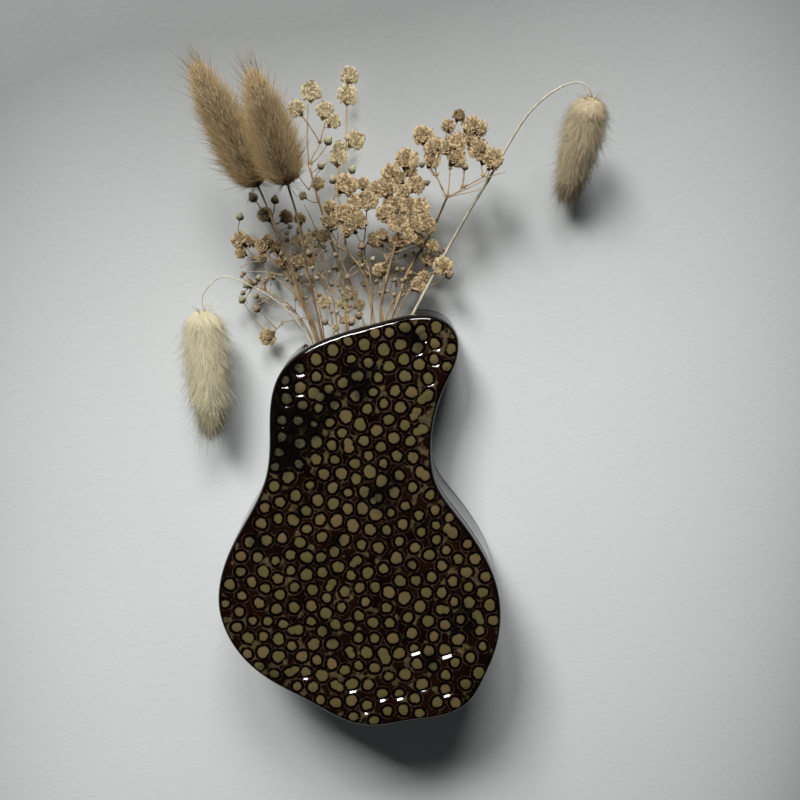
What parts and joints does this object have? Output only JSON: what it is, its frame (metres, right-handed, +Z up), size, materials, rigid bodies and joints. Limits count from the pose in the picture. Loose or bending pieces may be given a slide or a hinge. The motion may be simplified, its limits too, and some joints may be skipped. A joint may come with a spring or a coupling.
{
  "type": "hanging wall vase",
  "caption": "Slab-built wall pocket vase with a flat dotted front, a slit mouth and a hang hole, holding dried grass heads and gypsophila sprigs that lift out.",
  "frame": {"origin": "axis of the hang hole, in the plane of the wall that the back slab hangs against", "axes": "+X to the right seen from the front, +Y into the wall, +Z up"},
  "size_m": [0.1528, 0.0431, 0.2464],
  "materials": {
    "glaze": "gloss",
    "grass_stem": "matte",
    "tan_hair": "matte",
    "pale_hair": "matte",
    "twig": "matte",
    "petal": "matte"
  },
  "bodies": {
    "vase": {"front_slab": "glaze", "left_wall": "glaze", "right_wall": "glaze", "back_slab": "glaze"},
    "tan_left": {"tan_left_stem": "grass_stem", "tan_left_head": "tan_hair"},
    "tan_right": {"tan_right_stem": "grass_stem", "tan_right_head": "tan_hair"},
    "pale_left": {"pale_left_stem": "grass_stem", "pale_left_head": "pale_hair"},
    "pale_right": {"pale_right_stem": "grass_stem", "pale_right_head": "pale_hair"},
    "sprig_low": {"sprig_low_stems": "twig", "sprig_low_blooms": "petal"},
    "sprig_top": {"sprig_top_stems": "twig", "sprig_top_blooms": "petal"},
    "sprig_mid_left": {"sprig_mid_left_stems": "twig", "sprig_mid_left_blooms": "petal"},
    "sprig_mid_right": {"sprig_mid_right_stems": "twig", "sprig_mid_right_blooms": "petal"},
    "sprig_right": {"sprig_right_stems": "twig", "sprig_right_blooms": "petal"}
  },
  "joints": [
    {"name": "tan_left_lift", "type": "slide", "parent": "vase", "child": "tan_left", "axis": [-0.264, 0, 0.9645], "range_m": [0, 0.0498]},
    {"name": "tan_right_lift", "type": "slide", "parent": "vase", "child": "tan_right", "axis": [-0.1258, 0, 0.9921], "range_m": [0, 0.0453]},
    {"name": "pale_left_lift", "type": "slide", "parent": "vase", "child": "pale_left", "axis": [-0.4942, 0, 0.8693], "range_m": [0, 0.0493]},
    {"name": "pale_right_lift", "type": "slide", "parent": "vase", "child": "pale_right", "axis": [0.4419, 0, 0.8971], "range_m": [0, 0.0567]},
    {"name": "sprig_low_lift", "type": "slide", "parent": "vase", "child": "sprig_low", "axis": [-0.0577, 0, 0.9983], "range_m": [0, 0.0577]},
    {"name": "sprig_top_lift", "type": "slide", "parent": "vase", "child": "sprig_top", "axis": [0.0933, 0, 0.9956], "range_m": [0, 0.063]},
    {"name": "sprig_mid_left_lift", "type": "slide", "parent": "vase", "child": "sprig_mid_left", "axis": [-0.0633, 0, 0.998], "range_m": [0, 0.064]},
    {"name": "sprig_mid_right_lift", "type": "slide", "parent": "vase", "child": "sprig_mid_right", "axis": [-0.0652, 0, 0.9979], "range_m": [0, 0.0623]},
    {"name": "sprig_right_lift", "type": "slide", "parent": "vase", "child": "sprig_right", "axis": [-0.0473, 0, 0.9989], "range_m": [0, 0.0654]}
  ]
}
